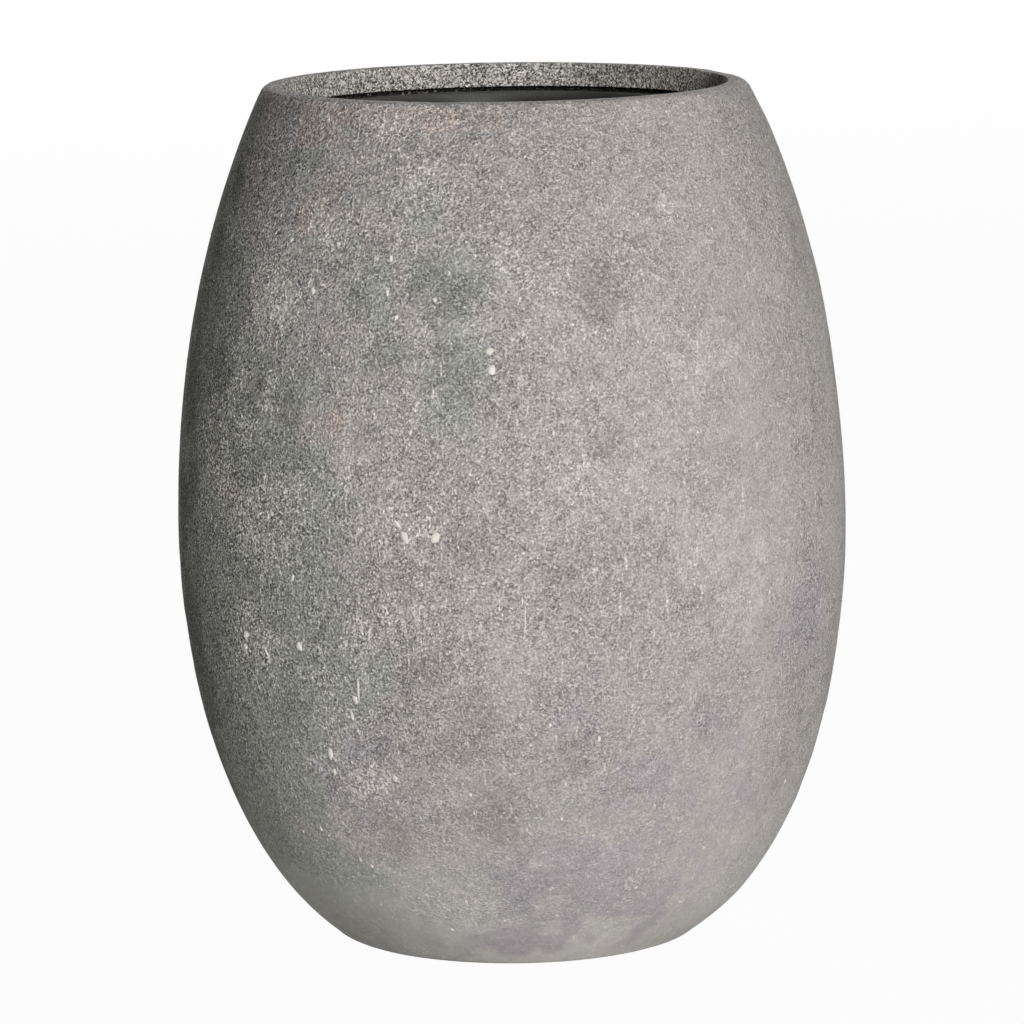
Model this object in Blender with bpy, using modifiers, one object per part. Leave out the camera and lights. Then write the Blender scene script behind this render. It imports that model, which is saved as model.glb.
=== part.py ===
"""Balloon planter: a barrel-shaped stone-composite shell with a drop-in planting liner.

Metres, +Z up. The origin is on the floor, at the centre of the four foot pads, and the planter's
axis is Z. Each piece is its own object. The liner lifts out of the shell, its two bails swing up,
and the two drain plugs pull up out of their holes.
"""

import math

import bmesh
import bpy
from mathutils import Matrix, Vector

# Outer shell: its two curves are quarter ellipses that meet at the belly
HEIGHT = 0.700
BELLY_RADIUS = 0.2735
BELLY_HEIGHT = 0.339
MOUTH_RADIUS = 0.196  # where the upper curve reaches the top
FOOT_RADIUS = 0.1455  # where the lower curve reaches the underside
SHOULDER_FULLNESS = 1.66  # half-height of the upper ellipse over the height that it spans
BASE_FULLNESS = 1.062  # the same for the lower ellipse
SHELL_WALL = 0.008
FLOOR_THICKNESS = 0.012
FLOOR_ROUND = 0.020
FOOT_ROUND = 0.020
FOOT_RING_WIDTH = 0.048
FOOT_RECESS = 0.003
BASE_DRAIN_RADIUS = 0.0125

# The lip that turns in and down at the mouth
LIP_WIDTH = 0.016  # from the mouth radius in to the lip's inner face
LIP_DEPTH = 0.020
LIP_CROWN_RADIUS = 0.010
LIP_EDGE_ROUND = 0.0025

# Foot pads in pockets under the base
PAD_COUNT = 4
PAD_RADIUS = 0.014
PAD_THICKNESS = 0.005
PAD_STAND_OUT = 0.002  # how far the pads lift the shell off the floor
PAD_BEVEL = 0.0006

# Ring that carries the liner, bonded inside the shell under the lip
LEDGE_THICKNESS = 0.010
LEDGE_EDGE_ROUND = 0.0015

# Planting liner
LINER_DEPTH = 0.300  # flange top to the top of its floor
LINER_WALL = 0.003
LINER_FLOOR = 0.004
LINER_FLOOR_RADIUS = 0.140  # inside, where the wall would meet the floor
LINER_FLOOR_ROUND = 0.014
FLANGE_WIDTH = 0.012
FLANGE_THICKNESS = 0.003
FLANGE_DROP = 0.003  # from the lip's lower edge to the flange's top
LINER_DRAIN_RADIUS = 0.010

# Bails and the lugs that hold them
BAIL_WIRE_RADIUS = 0.0025
BAIL_SPAN = 0.100  # between the middles of its arms
BAIL_DROP = 0.058  # from the pivot to the middle of its grip
BAIL_GRIP_BEND = 0.014
BAIL_PIVOT_BEND = 0.005
BAIL_PIVOT_DEPTH = 0.010  # below the flange's top
BAIL_END_STAND_OUT = 0.0025  # wire that shows past its lug
LUG_THICKNESS = 0.006
LUG_NOSE_RADIUS = 0.0055

# Drain plugs, alike but for their holes
PLUG_HEAD_OVERLAP = 0.006  # head radius past the hole
PLUG_HEAD_THICKNESS = 0.003
PLUG_SEAT_DEPTH = 0.0015  # how far the head is let into the floor
PLUG_SHANK_PAST = 0.003  # shank length below the liner's floor
PLUG_GRIP_RADIUS = 0.0045
PLUG_GRIP_HEIGHT = 0.007
PLUG_TIP_CHAMFER = 0.0015

# Clearances
SEAT_GAP = 0.0003  # between pieces that rest on or are bonded to each other
LINER_SIDE_CLEARANCE = 0.0025  # flange to lip
LINER_WALL_CLEARANCE = 0.002  # liner wall to ledge ring
PLUG_SEAT_CLEARANCE = 0.002  # plug head to the side of its seat
PIVOT_CLEARANCE = 0.0005  # wire to the lug's hole and to its faces
BAIL_WALL_CLEARANCE = 0.004  # wire end to the liner's wall

# Smoothness
SHELL_STEPS = 64
SMALL_STEPS = 24
OUTER_TURN = math.radians(5)  # of the ellipse's angle from one point of the outer curve to the next
INNER_TURN = math.radians(9)
ROUND_POINTS = 5
BEND_POINTS = 5

# Left and right are the signs of X
SIDES = {"left": -1, "right": 1}

# Levels that follow from the sizes above
UNDERSIDE = PAD_STAND_OUT
FLOOR_TOP = UNDERSIDE + FLOOR_THICKNESS
LIP_BOTTOM = HEIGHT - LIP_DEPTH
FLANGE_TOP = LIP_BOTTOM - FLANGE_DROP
FLANGE_BOTTOM = FLANGE_TOP - FLANGE_THICKNESS
LEDGE_TOP = FLANGE_BOTTOM - SEAT_GAP
LEDGE_BOTTOM = LEDGE_TOP - LEDGE_THICKNESS
LINER_FLOOR_TOP = FLANGE_TOP - LINER_DEPTH
PIVOT_HEIGHT = FLANGE_TOP - BAIL_PIVOT_DEPTH

# Radii that follow from the sizes above
LIP_INNER_RADIUS = MOUTH_RADIUS - LIP_WIDTH
FLANGE_RADIUS = LIP_INNER_RADIUS - LINER_SIDE_CLEARANCE
LINER_MOUTH_RADIUS = FLANGE_RADIUS - FLANGE_WIDTH
LEDGE_INNER_RADIUS = LINER_MOUTH_RADIUS + LINER_WALL + LINER_WALL_CLEARANCE


def clear_scene():
    """Removes what the scene holds, so that the script can be run again."""
    for old in list(bpy.data.objects):
        bpy.data.objects.remove(old, do_unlink=True)
    for old in list(bpy.data.collections):
        bpy.data.collections.remove(old)


def new_collection(name):
    collection = bpy.data.collections.new(name)
    bpy.context.scene.collection.children.link(collection)
    return collection


def principled(name, colour, roughness, metallic=0.0):
    """A plain material with the piece's own colour."""
    material = bpy.data.materials.new(name)
    material.use_nodes = True
    shader = material.node_tree.nodes["Principled BSDF"]
    shader.inputs["Base Color"].default_value = (*colour, 1.0)
    shader.inputs["Roughness"].default_value = roughness
    shader.inputs["Metallic"].default_value = metallic
    return material


def ellipse_axes(angle):
    """Radial and vertical half-axes of the shell's curve, above or below the belly."""
    if angle >= 0:
        span, fullness, narrowing = HEIGHT - BELLY_HEIGHT, SHOULDER_FULLNESS, BELLY_RADIUS - MOUTH_RADIUS
    else:
        span, fullness, narrowing = BELLY_HEIGHT - UNDERSIDE, BASE_FULLNESS, BELLY_RADIUS - FOOT_RADIUS
    radial = narrowing / (1 - math.sqrt(1 - 1 / fullness**2))
    return radial, span * fullness


def shell_point(angle, depth):
    """(radius, height) on the shell's outer curve, moved inward by depth along its normal.

    angle is the ellipse's own angle: 0 at the belly, positive above it.
    """
    radial, vertical = ellipse_axes(angle)
    radius = BELLY_RADIUS - radial * (1 - math.cos(angle))
    height = BELLY_HEIGHT + vertical * math.sin(angle)
    across, up = math.cos(angle) / radial, math.sin(angle) / vertical
    length = math.hypot(across, up)
    return radius - depth * across / length, height - depth * up / length


def shell_angle(height, depth):
    """The ellipse's angle where the curve at this depth reaches a height."""
    low, high = -math.pi / 2, math.pi / 2
    for _ in range(60):
        middle = (low + high) / 2
        if shell_point(middle, depth)[1] < height:
            low = middle
        else:
            high = middle
    return (low + high) / 2


def shell_stretch(start, end, depth, turn):
    """Points from one angle of the curve to another, at most a turn apart, both ends included."""
    count = math.ceil(abs(end - start) / turn)
    return [shell_point(start + (end - start) * i / count, depth) for i in range(count + 1)]


def arc(centre, radius, start, end, count=ROUND_POINTS):
    """Points on a circle in the (radius, height) plane, both ends included."""
    angles = [start + (end - start) * i / count for i in range(count + 1)]
    return [(centre[0] + radius * math.cos(a), centre[1] + radius * math.sin(a)) for a in angles]


def shell_round(level, radius, depth, below):
    """A round between the shell's curve at a depth and a flat level above or below it.

    Returns its centre, the direction from there to where it meets the curve, and the curve's angle.
    """
    side = 1 if below else -1
    angle = shell_angle(level + side * radius, depth + radius)
    centre = shell_point(angle, depth + radius)
    meets = shell_point(angle, depth)
    return centre, math.atan2(meets[1] - centre[1], meets[0] - centre[0]), angle


def plug_seat(hole_radius, floor_top):
    """Section points from the top of a drain hole over the seat round it to the floor."""
    side = hole_radius + PLUG_HEAD_OVERLAP + PLUG_SEAT_CLEARANCE
    level = floor_top - PLUG_SEAT_DEPTH
    return [(hole_radius, level), (side, level), (side, floor_top)]


def shell_profile():
    """The shell's closed section: lip, outer curve, foot, drain hole, floor, inner curve."""
    # A flat land lies between the lip's inner edge and the crown that rolls over to the outer curve
    crown, crown_end, top_angle = shell_round(HEIGHT, LIP_CROWN_RADIUS, 0, False)
    edge_radius = LIP_INNER_RADIUS + LIP_EDGE_ROUND
    points = arc((edge_radius, HEIGHT - LIP_EDGE_ROUND), LIP_EDGE_ROUND, math.pi, math.pi / 2, 3)
    points += arc(crown, LIP_CROWN_RADIUS, math.pi / 2, crown_end)

    foot, foot_start, foot_angle = shell_round(UNDERSIDE, FOOT_ROUND, 0, True)
    points += shell_stretch(top_angle, 0, 0, OUTER_TURN)[1:]
    points += shell_stretch(0, foot_angle, 0, OUTER_TURN)[1:]
    points += arc(foot, FOOT_ROUND, foot_start, -math.pi / 2)[1:]

    recess_radius = foot[0] - FOOT_RING_WIDTH
    recess_top = UNDERSIDE + FOOT_RECESS
    points += [
        (recess_radius, UNDERSIDE),
        (recess_radius - FOOT_RECESS, recess_top),
        (BASE_DRAIN_RADIUS, recess_top),
        *plug_seat(BASE_DRAIN_RADIUS, FLOOR_TOP),
    ]

    corner, corner_end, floor_angle = shell_round(FLOOR_TOP, FLOOR_ROUND, SHELL_WALL, True)
    points += arc(corner, FLOOR_ROUND, -math.pi / 2, corner_end)
    points += shell_stretch(floor_angle, 0, SHELL_WALL, INNER_TURN)[1:]
    # Straight where the ledge ring is bonded, so that the ring can follow it
    ledge_angles = [shell_angle(level, SHELL_WALL) for level in (LEDGE_BOTTOM, LEDGE_TOP, LIP_BOTTOM)]
    points += shell_stretch(0, ledge_angles[0], SHELL_WALL, INNER_TURN)[1:]
    points += [shell_point(angle, SHELL_WALL) for angle in ledge_angles[1:]]
    points += arc(
        (edge_radius, LIP_BOTTOM + LIP_EDGE_ROUND), LIP_EDGE_ROUND, -math.pi / 2, -math.pi, 3
    )
    return points


def ledge_profile():
    """The ledge ring's closed section: its outer side follows the shell's inner wall."""
    depth = SHELL_WALL + SEAT_GAP
    outer_top = shell_point(shell_angle(LEDGE_TOP, depth), depth)
    outer_bottom = shell_point(shell_angle(LEDGE_BOTTOM, depth), depth)
    inner = LEDGE_INNER_RADIUS + LEDGE_EDGE_ROUND
    edge = arc((inner, LEDGE_TOP - LEDGE_EDGE_ROUND), LEDGE_EDGE_ROUND, math.pi, math.pi / 2, 3)
    return [*edge, outer_top, outer_bottom, (LEDGE_INNER_RADIUS, LEDGE_BOTTOM)]


def liner_radius(height):
    """Inside radius of the liner's tapered wall at a height."""
    share = (height - LINER_FLOOR_TOP) / LINER_DEPTH
    return LINER_FLOOR_RADIUS + share * (LINER_MOUTH_RADIUS - LINER_FLOOR_RADIUS)


def liner_lean():
    """How far the liner's wall leans out from upright."""
    return math.atan2(LINER_MOUTH_RADIUS - LINER_FLOOR_RADIUS, LINER_DEPTH)


def liner_round(wall, floor_level):
    """The round between the liner's wall and floor, on its inside (wall 0) or its outside."""
    lean = liner_lean()
    radius = LINER_FLOOR_ROUND + wall
    height = floor_level + radius
    centre = (liner_radius(height) + (wall - radius) / math.cos(lean), height)
    return arc(centre, radius, -lean, -math.pi / 2)


def liner_profile():
    """The liner's closed section, in heights above the flange's top."""
    edge = FLANGE_THICKNESS / 2
    rim = arc((FLANGE_RADIUS - edge, FLANGE_TOP - edge), edge, math.pi / 2, -math.pi / 2, 4)
    outer_round = liner_round(LINER_WALL, LINER_FLOOR_TOP - LINER_FLOOR)
    inner_round = liner_round(0, LINER_FLOOR_TOP)
    points = [
        (LINER_MOUTH_RADIUS, FLANGE_TOP),
        *rim,
        (liner_radius(FLANGE_BOTTOM) + LINER_WALL / math.cos(liner_lean()), FLANGE_BOTTOM),
        *outer_round,
        (LINER_DRAIN_RADIUS, LINER_FLOOR_TOP - LINER_FLOOR),
        *plug_seat(LINER_DRAIN_RADIUS, LINER_FLOOR_TOP),
        *reversed(inner_round),
    ]
    return [(radius, height - FLANGE_TOP) for radius, height in points]


def plug_profile(hole_radius, hole_depth, shank_past):
    """A drain plug's half section from the top of its grip to its tip, in heights above its seat."""
    shank = hole_radius - SEAT_GAP
    head = hole_radius + PLUG_HEAD_OVERLAP
    head_bottom, head_top = SEAT_GAP, SEAT_GAP + PLUG_HEAD_THICKNESS
    grip_top = head_top + PLUG_GRIP_HEIGHT
    tip = -hole_depth - shank_past
    grip_round = PLUG_GRIP_RADIUS / 3
    return [
        (0, grip_top),
        (PLUG_GRIP_RADIUS - grip_round, grip_top),
        (PLUG_GRIP_RADIUS, grip_top - grip_round),
        (PLUG_GRIP_RADIUS, head_top),
        (head - PLUG_HEAD_THICKNESS / 2, head_top),
        (head, head_top - PLUG_HEAD_THICKNESS / 2),
        (head, head_bottom),
        (shank, head_bottom),
        (shank, tip + PLUG_TIP_CHAMFER),
        (shank - PLUG_TIP_CHAMFER, tip),
        (0, tip),
    ]


def turned(name, profile, steps, collection, closed=True):
    """Turns a section round Z with a Screw modifier. A section that isn't closed ends on the axis."""
    mesh = bpy.data.meshes.new(name)
    last = len(profile) if closed else len(profile) - 1
    edges = [(i, (i + 1) % len(profile)) for i in range(last)]
    mesh.from_pydata([(radius, 0, height) for radius, height in profile], edges, [])
    piece = bpy.data.objects.new(name, mesh)
    collection.objects.link(piece)
    screw = piece.modifiers.new("turn", "SCREW")
    screw.axis = "Z"
    screw.steps = steps
    screw.render_steps = steps
    screw.use_merge_vertices = True
    screw.merge_threshold = 0.00001
    screw.use_smooth_shade = True
    return piece


def cylinder(name, radius, length, steps, collection):
    """A closed cylinder along Z, centred on its origin."""
    mesh = bpy.data.meshes.new(name)
    build = bmesh.new()
    bmesh.ops.create_cone(
        build, cap_ends=True, segments=steps, radius1=radius, radius2=radius, depth=length
    )
    build.to_mesh(mesh)
    build.free()
    piece = bpy.data.objects.new(name, mesh)
    collection.objects.link(piece)
    return piece


def as_guide(piece):
    """Marks a cutter or another helper that isn't a piece of the planter."""
    piece.hide_render = True
    piece.display_type = "WIRE"
    return piece


def boolean(piece, guide, operation):
    modifier = piece.modifiers.new(guide.name, "BOOLEAN")
    modifier.operation = operation
    modifier.object = guide


def make_shell(planter, guides):
    shell = turned("outer_shell", shell_profile(), SHELL_STEPS, planter)
    shell.data.materials.append(principled("stone_composite", (0.36, 0.35, 0.33), 0.9))
    for number, (x, y) in enumerate(pad_places(), 1):
        depth = PAD_THICKNESS + SEAT_GAP
        pocket = cylinder(
            f"pad_pocket_{number}", PAD_RADIUS + SEAT_GAP, 2 * depth, SMALL_STEPS, guides
        )
        pocket.location = (x, y, 0)
        boolean(shell, as_guide(pocket), "DIFFERENCE")
    return shell


def pad_places():
    """Where the pads sit: on the middle of the foot ring, between the axes."""
    foot = shell_round(UNDERSIDE, FOOT_ROUND, 0, True)[0]
    radius = foot[0] - FOOT_RING_WIDTH / 2
    turns = [2 * math.pi * (i + 0.5) / PAD_COUNT for i in range(PAD_COUNT)]
    return [(radius * math.cos(turn), radius * math.sin(turn)) for turn in turns]


def make_pads(planter):
    rubber = principled("pad_rubber", (0.03, 0.03, 0.03), 0.8)
    for number, (x, y) in enumerate(pad_places(), 1):
        pad = cylinder(f"foot_pad_{number}", PAD_RADIUS, PAD_THICKNESS, SMALL_STEPS, planter)
        pad.location = (x, y, PAD_THICKNESS / 2)
        bevel = pad.modifiers.new("edges", "BEVEL")
        bevel.width = PAD_BEVEL
        bevel.segments = 1
        bevel.limit_method = "ANGLE"
        pad.data.materials.append(rubber)


def make_ledge(planter):
    ledge = turned("liner_ledge_ring", ledge_profile(), SHELL_STEPS, planter)
    ledge.data.materials.append(principled("ledge_plastic", (0.02, 0.02, 0.02), 0.6))


def pivot_place():
    """(distance from the planter's axis, half length of the wire) at a bail's pivot."""
    half_wire = BAIL_SPAN / 2 + BAIL_PIVOT_BEND + PIVOT_CLEARANCE + LUG_THICKNESS + BAIL_END_STAND_OUT
    wall = math.sqrt(liner_radius(PIVOT_HEIGHT) ** 2 - half_wire**2)
    return wall - BAIL_WALL_CLEARANCE - BAIL_WIRE_RADIUS, half_wire


def lug_outline(reach):
    """A lug's flat outline: a round nose about the pivot and a straight root out to reach."""
    nose = arc((0, 0), LUG_NOSE_RADIUS, math.pi / 2, 3 * math.pi / 2, 10)
    return [*nose, (reach, -LUG_NOSE_RADIUS), (reach, LUG_NOSE_RADIUS)]


def flat_solid(name, outline, thickness, collection):
    """A flat outline in X and Z, as thick along Y as asked, as a closed mesh."""
    curve = bpy.data.curves.new(name, "CURVE")
    curve.dimensions = "2D"
    curve.fill_mode = "BOTH"
    curve.extrude = thickness / 2
    spline = curve.splines.new("POLY")
    spline.points.add(len(outline) - 1)
    for point, (x, z) in zip(spline.points, outline):
        point.co = (x, z, 0, 1)
    spline.use_cyclic_u = True
    drawn = bpy.data.objects.new(name + "_outline", curve)
    collection.objects.link(drawn)
    bpy.context.view_layer.update()
    seen = drawn.evaluated_get(bpy.context.evaluated_depsgraph_get())
    mesh = bpy.data.meshes.new_from_object(seen)
    build = bmesh.new()
    build.from_mesh(mesh)
    bmesh.ops.remove_doubles(build, verts=build.verts, dist=0.00001)
    bmesh.ops.rotate(build, verts=build.verts, matrix=Matrix.Rotation(math.pi / 2, 3, "X"))
    bmesh.ops.recalc_face_normals(build, faces=build.faces)
    build.to_mesh(mesh)
    build.free()
    mesh.name = name
    piece = bpy.data.objects.new(name, mesh)
    collection.objects.link(piece)
    bpy.data.objects.remove(drawn, do_unlink=True)
    return piece


def make_lugs(side, guides):
    """The two lugs of one bail, trimmed to the middle of the liner's wall."""
    reach, half_wire = pivot_place()
    wall_middle = liner_radius(PIVOT_HEIGHT) + LINER_WALL / 2
    depth = 4 * LUG_NOSE_RADIUS
    inside = cylinder(f"wall_middle_{side}", wall_middle, depth, SHELL_STEPS, guides)
    inside.location = (0, 0, PIVOT_HEIGHT)
    lug_middle = half_wire - BAIL_END_STAND_OUT - LUG_THICKNESS / 2
    outline = [(SIDES[side] * x, z) for x, z in lug_outline(LINER_MOUTH_RADIUS - reach)]
    lugs = []
    for end in (-1, 1):
        lug = flat_solid(f"lug_{side}_{end}", outline, LUG_THICKNESS, guides)
        lug.location = (SIDES[side] * reach, end * lug_middle, PIVOT_HEIGHT)
        boolean(as_guide(lug), as_guide(inside), "INTERSECT")
        lugs.append(lug)
    return lugs


def make_liner(planter, guides):
    liner = turned("liner", liner_profile(), SHELL_STEPS, planter)
    liner.location = (0, 0, FLANGE_TOP)
    liner.data.materials.append(principled("liner_plastic", (0.015, 0.016, 0.016), 0.45))
    reach, half_wire = pivot_place()
    bore_radius = BAIL_WIRE_RADIUS + PIVOT_CLEARANCE
    for side in SIDES:
        for lug in make_lugs(side, guides):
            boolean(liner, lug, "UNION")
        bore = cylinder(f"pivot_bore_{side}", bore_radius, 2 * half_wire, SMALL_STEPS, guides)
        bore.location = (SIDES[side] * reach, 0, PIVOT_HEIGHT)
        bore.rotation_euler = (math.pi / 2, 0, 0)
        boolean(liner, as_guide(bore), "DIFFERENCE")
    return liner


def square_bend(before, corner, after, radius):
    """Points round a square corner of a path in Y and Z."""
    corner = Vector(corner)
    arriving = (corner - Vector(before)).normalized()
    leaving = (Vector(after) - corner).normalized()
    centre = corner + radius * (leaving - arriving)
    turns = [math.pi / 2 * i / BEND_POINTS for i in range(BEND_POINTS + 1)]
    return [centre - radius * (leaving * math.cos(turn) - arriving * math.sin(turn)) for turn in turns]


def bail_path():
    """The bail's middle line in Y and Z about its pivot, hanging down."""
    half_wire = pivot_place()[1]
    arm = BAIL_SPAN / 2
    corners = [
        (-half_wire, 0),
        (-arm, 0),
        (-arm, -BAIL_DROP),
        (arm, -BAIL_DROP),
        (arm, 0),
        (half_wire, 0),
    ]
    bends = [BAIL_PIVOT_BEND, BAIL_GRIP_BEND, BAIL_GRIP_BEND, BAIL_PIVOT_BEND]
    path = [corners[0]]
    for i, bend in enumerate(bends, 1):
        path += square_bend(corners[i - 1], corners[i], corners[i + 1], bend)
    return [*path, corners[-1]]


def make_bail(side, wire, planter, liner):
    curve = bpy.data.curves.new(f"liner_handle_{side}", "CURVE")
    curve.dimensions = "3D"
    curve.bevel_depth = BAIL_WIRE_RADIUS
    curve.bevel_resolution = 3
    curve.use_fill_caps = True
    path = bail_path()
    spline = curve.splines.new("POLY")
    spline.points.add(len(path) - 1)
    for point, (y, z) in zip(spline.points, path):
        point.co = (0, y, z, 1)
    bail = bpy.data.objects.new(curve.name, curve)
    planter.objects.link(bail)
    bail.data.materials.append(wire)
    bail.parent = liner
    bail.location = (SIDES[side] * pivot_place()[0], 0, PIVOT_HEIGHT - FLANGE_TOP)


def make_plugs(planter, liner):
    rubber = principled("plug_rubber", (0.02, 0.02, 0.02), 0.7)
    profile = plug_profile(LINER_DRAIN_RADIUS, LINER_FLOOR - PLUG_SEAT_DEPTH, PLUG_SHANK_PAST)
    liner_plug = turned("liner_drain_plug", profile, SMALL_STEPS, planter, closed=False)
    liner_plug.parent = liner
    liner_plug.location = (0, 0, LINER_FLOOR_TOP - PLUG_SEAT_DEPTH - FLANGE_TOP)

    # The shell's plug ends level with the underside
    hole_depth = FLOOR_THICKNESS - FOOT_RECESS - PLUG_SEAT_DEPTH
    profile = plug_profile(BASE_DRAIN_RADIUS, hole_depth, FOOT_RECESS)
    base_plug = turned("base_drain_plug", profile, SMALL_STEPS, planter, closed=False)
    base_plug.location = (0, 0, FLOOR_TOP - PLUG_SEAT_DEPTH)
    for plug in (liner_plug, base_plug):
        plug.data.materials.append(rubber)


def main():
    clear_scene()
    planter = new_collection("balloon_planter")
    guides = new_collection("cutters")
    make_shell(planter, guides)
    make_pads(planter)
    make_ledge(planter)
    liner = make_liner(planter, guides)
    wire = principled("bail_wire", (0.03, 0.03, 0.03), 0.4, 0.8)
    for side in SIDES:
        make_bail(side, wire, planter, liner)
    make_plugs(planter, liner)


if __name__ == "__main__":
    main()
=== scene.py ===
import math

import bpy
import numpy as np
from mathutils import Matrix, Vector


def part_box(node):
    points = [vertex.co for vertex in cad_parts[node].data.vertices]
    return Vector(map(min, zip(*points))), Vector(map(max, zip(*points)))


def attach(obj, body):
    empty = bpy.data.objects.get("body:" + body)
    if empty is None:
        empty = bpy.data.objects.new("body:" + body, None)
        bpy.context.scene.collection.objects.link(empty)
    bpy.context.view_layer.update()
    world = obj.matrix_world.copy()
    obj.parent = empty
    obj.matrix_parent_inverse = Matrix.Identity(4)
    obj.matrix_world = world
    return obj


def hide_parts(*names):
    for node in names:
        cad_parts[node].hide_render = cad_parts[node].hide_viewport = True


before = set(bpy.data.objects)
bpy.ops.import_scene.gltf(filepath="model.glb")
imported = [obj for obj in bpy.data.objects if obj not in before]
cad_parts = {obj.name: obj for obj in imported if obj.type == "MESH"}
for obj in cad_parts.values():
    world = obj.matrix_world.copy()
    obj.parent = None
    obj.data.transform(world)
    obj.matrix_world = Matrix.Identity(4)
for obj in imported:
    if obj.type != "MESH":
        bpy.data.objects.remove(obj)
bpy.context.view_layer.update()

scene = bpy.context.scene


# Linear light from a colour as a screen shows it, 0 to 255 a channel
def screenColour(red, green, blue):
    share = np.array([red, green, blue]) / 255
    return (*(((share + 0.055) / 1.055) ** 2.4).tolist(), 1.0)


# 0 to 1 as value goes from low to high: t t (3 - 2t)
def smoothStep(value, low, high):
    t = np.clip((value - low) / (high - low), 0, 1)
    return t * t * (3 - 2 * t)


# A number from 0 to 1 for each lattice point: its indices times large odd numbers, added and
# mixed by shifts, then cut to 20 bits
def latticeValue(i, j, k, seed):
    mixed = (i * 374761393 + j * 668265263 + k * 1274126177 + seed * 97531) & 0xFFFFFFFF
    mixed = ((mixed ^ (mixed >> 13)) * 1103515245) & 0xFFFFFFFF
    return ((mixed ^ (mixed >> 16)) & 0xFFFFF) / 0xFFFFF


# Smooth noise from -1 to 1: the eight lattice values round each point, size metres apart,
# blended with the weight f f (3 - 2f) along each axis
def smoothNoise(points, size, seed):
    place = points / size
    cell = np.floor(place).astype(np.int64)
    blend = smoothStep(place - cell, 0, 1)
    total = 0
    for corner in np.ndindex(2, 2, 2):
        weight = np.prod(np.where(corner, blend, 1 - blend), axis=-1)
        total = total + weight * latticeValue(*np.moveaxis(cell + corner, -1, 0), seed)
    return 2 * total - 1


# Points and faces from a grid of points, [row][column]. Each quad joins a point to the next ones both
# ways, and each row runs all round. closedRows joins the last row to the first, and a pole closes an
# end row with a fan. All faces are turned over where the volume inside them comes out negative.
def gridPart(grid, closedRows=False, poles=()):
    rows, columns = grid.shape[:2]
    index = np.arange(rows * columns).reshape(rows, columns)
    ends = [index[0], index[-1][::-1]]
    if closedRows:
        index = np.vstack([index, index[:1]])
    index = np.hstack([index, index[:, :1]])
    quads = np.stack([index[:-1, :-1], index[:-1, 1:], index[1:, 1:], index[1:, :-1]], -1).reshape(-1, 4)
    points = np.vstack([grid.reshape(-1, 3), *poles])
    fans = np.zeros((0, 3), int)
    for number, ring in enumerate(ends[:len(poles)]):
        tip = np.full(columns, rows * columns + number)
        fans = np.vstack([fans, np.stack([tip, np.roll(ring, -1), ring], -1)])
    corners = points[np.vstack([quads[:, :3], quads[:, [0, 2, 3]], fans])]
    if np.sum(corners[:, 0] * np.cross(corners[:, 1], corners[:, 2])) < 0:
        quads, fans = quads[:, ::-1], fans[:, ::-1]
    return points, quads.tolist() + fans.tolist()


# One mesh from several parts, shaded smooth but for edges that turn by more than sharpAngle
def joinedMesh(name, parts, sharpAngle=48):
    starts = np.cumsum([0] + [len(points) for points, _ in parts])
    faces = [[int(start) + i for i in face] for start, (_, some) in zip(starts, parts) for face in some]
    mesh = bpy.data.meshes.new(name)
    mesh.from_pydata(np.vstack([points for points, _ in parts]).tolist(), [], faces)
    mesh.polygons.foreach_set("use_smooth", np.ones(len(mesh.polygons), bool))
    mesh.set_sharp_from_angle(angle=math.radians(sharpAngle))
    return mesh


# A section of (radius, height) rows turned round Z: x = radius sin a, y = -radius cos a
def turnedGrid(section, columns, centre=(0, 0)):
    turn = np.linspace(0, 2 * math.pi, columns, endpoint=False)
    radius, height = np.asarray(section, float).T
    x = centre[0] + np.outer(radius, np.sin(turn))
    y = centre[1] - np.outer(radius, np.cos(turn))
    return np.dstack([x, y, np.repeat(height[:, None], columns, axis=1)])


quarter = math.pi / 2


# Points on a circle in the (radius, height) plane, both ends included, angles in radians
def arc(centre, radius, start, end, count):
    angle = np.linspace(start, end, count)
    return np.stack([centre[0] + radius * np.cos(angle), centre[1] + radius * np.sin(angle)], -1)


# Points spaced evenly along a line of corners, its last point left out
def spread(line, rows):
    line = np.asarray(line, float)
    along = np.concatenate([[0], np.cumsum(np.linalg.norm(np.diff(line, axis=0), axis=1))])
    places = np.linspace(0, along[-1], rows, endpoint=False)
    return np.stack([np.interp(places, along, line[:, axis]) for axis in (0, 1)], -1)


# A closed section with each corner eased: the curve (1-t)(1-t) before + 2t(1-t) corner + t t after,
# with before and after a short reach away from the corner on its two sides
def eased(section, reach, steps=3):
    section = np.asarray(section, float)
    sides = [np.roll(section, 1, axis=0) - section, np.roll(section, -1, axis=0) - section]
    lengths = [np.linalg.norm(side, axis=1)[:, None] for side in sides]
    before, after = [section + s / n * np.minimum(reach, n * 0.42) for s, n in zip(sides, lengths)]
    t = np.linspace(0, 1, steps + 1)[None, :, None]
    curve = (1 - t) ** 2 * before[:, None] + 2 * t * (1 - t) * section[:, None] + t**2 * after[:, None]
    return curve.reshape(-1, 2)


def addObject(name, data):
    item = bpy.data.objects.new(name, data)
    scene.collection.objects.link(item)
    return item


def addPiece(mesh, material, body, slot, *nodes):
    piece = addObject(mesh.name, mesh)
    mesh.materials.append(material)
    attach(piece, body)
    if nodes:
        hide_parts(*nodes)
    return piece


# One node: its settings first, then the values or links of its sockets
def addNode(tree, kind, sockets, output=0, **settings):
    node = tree.nodes.new(kind)
    for name, value in settings.items():
        setattr(node, name, value)
    for name, value in sockets.items():
        if isinstance(value, Wire):
            tree.links.new(value.socket, node.inputs[name])
        else:
            node.inputs[name].default_value = value
    return Wire(node.outputs[output]) if node.outputs else node


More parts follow.
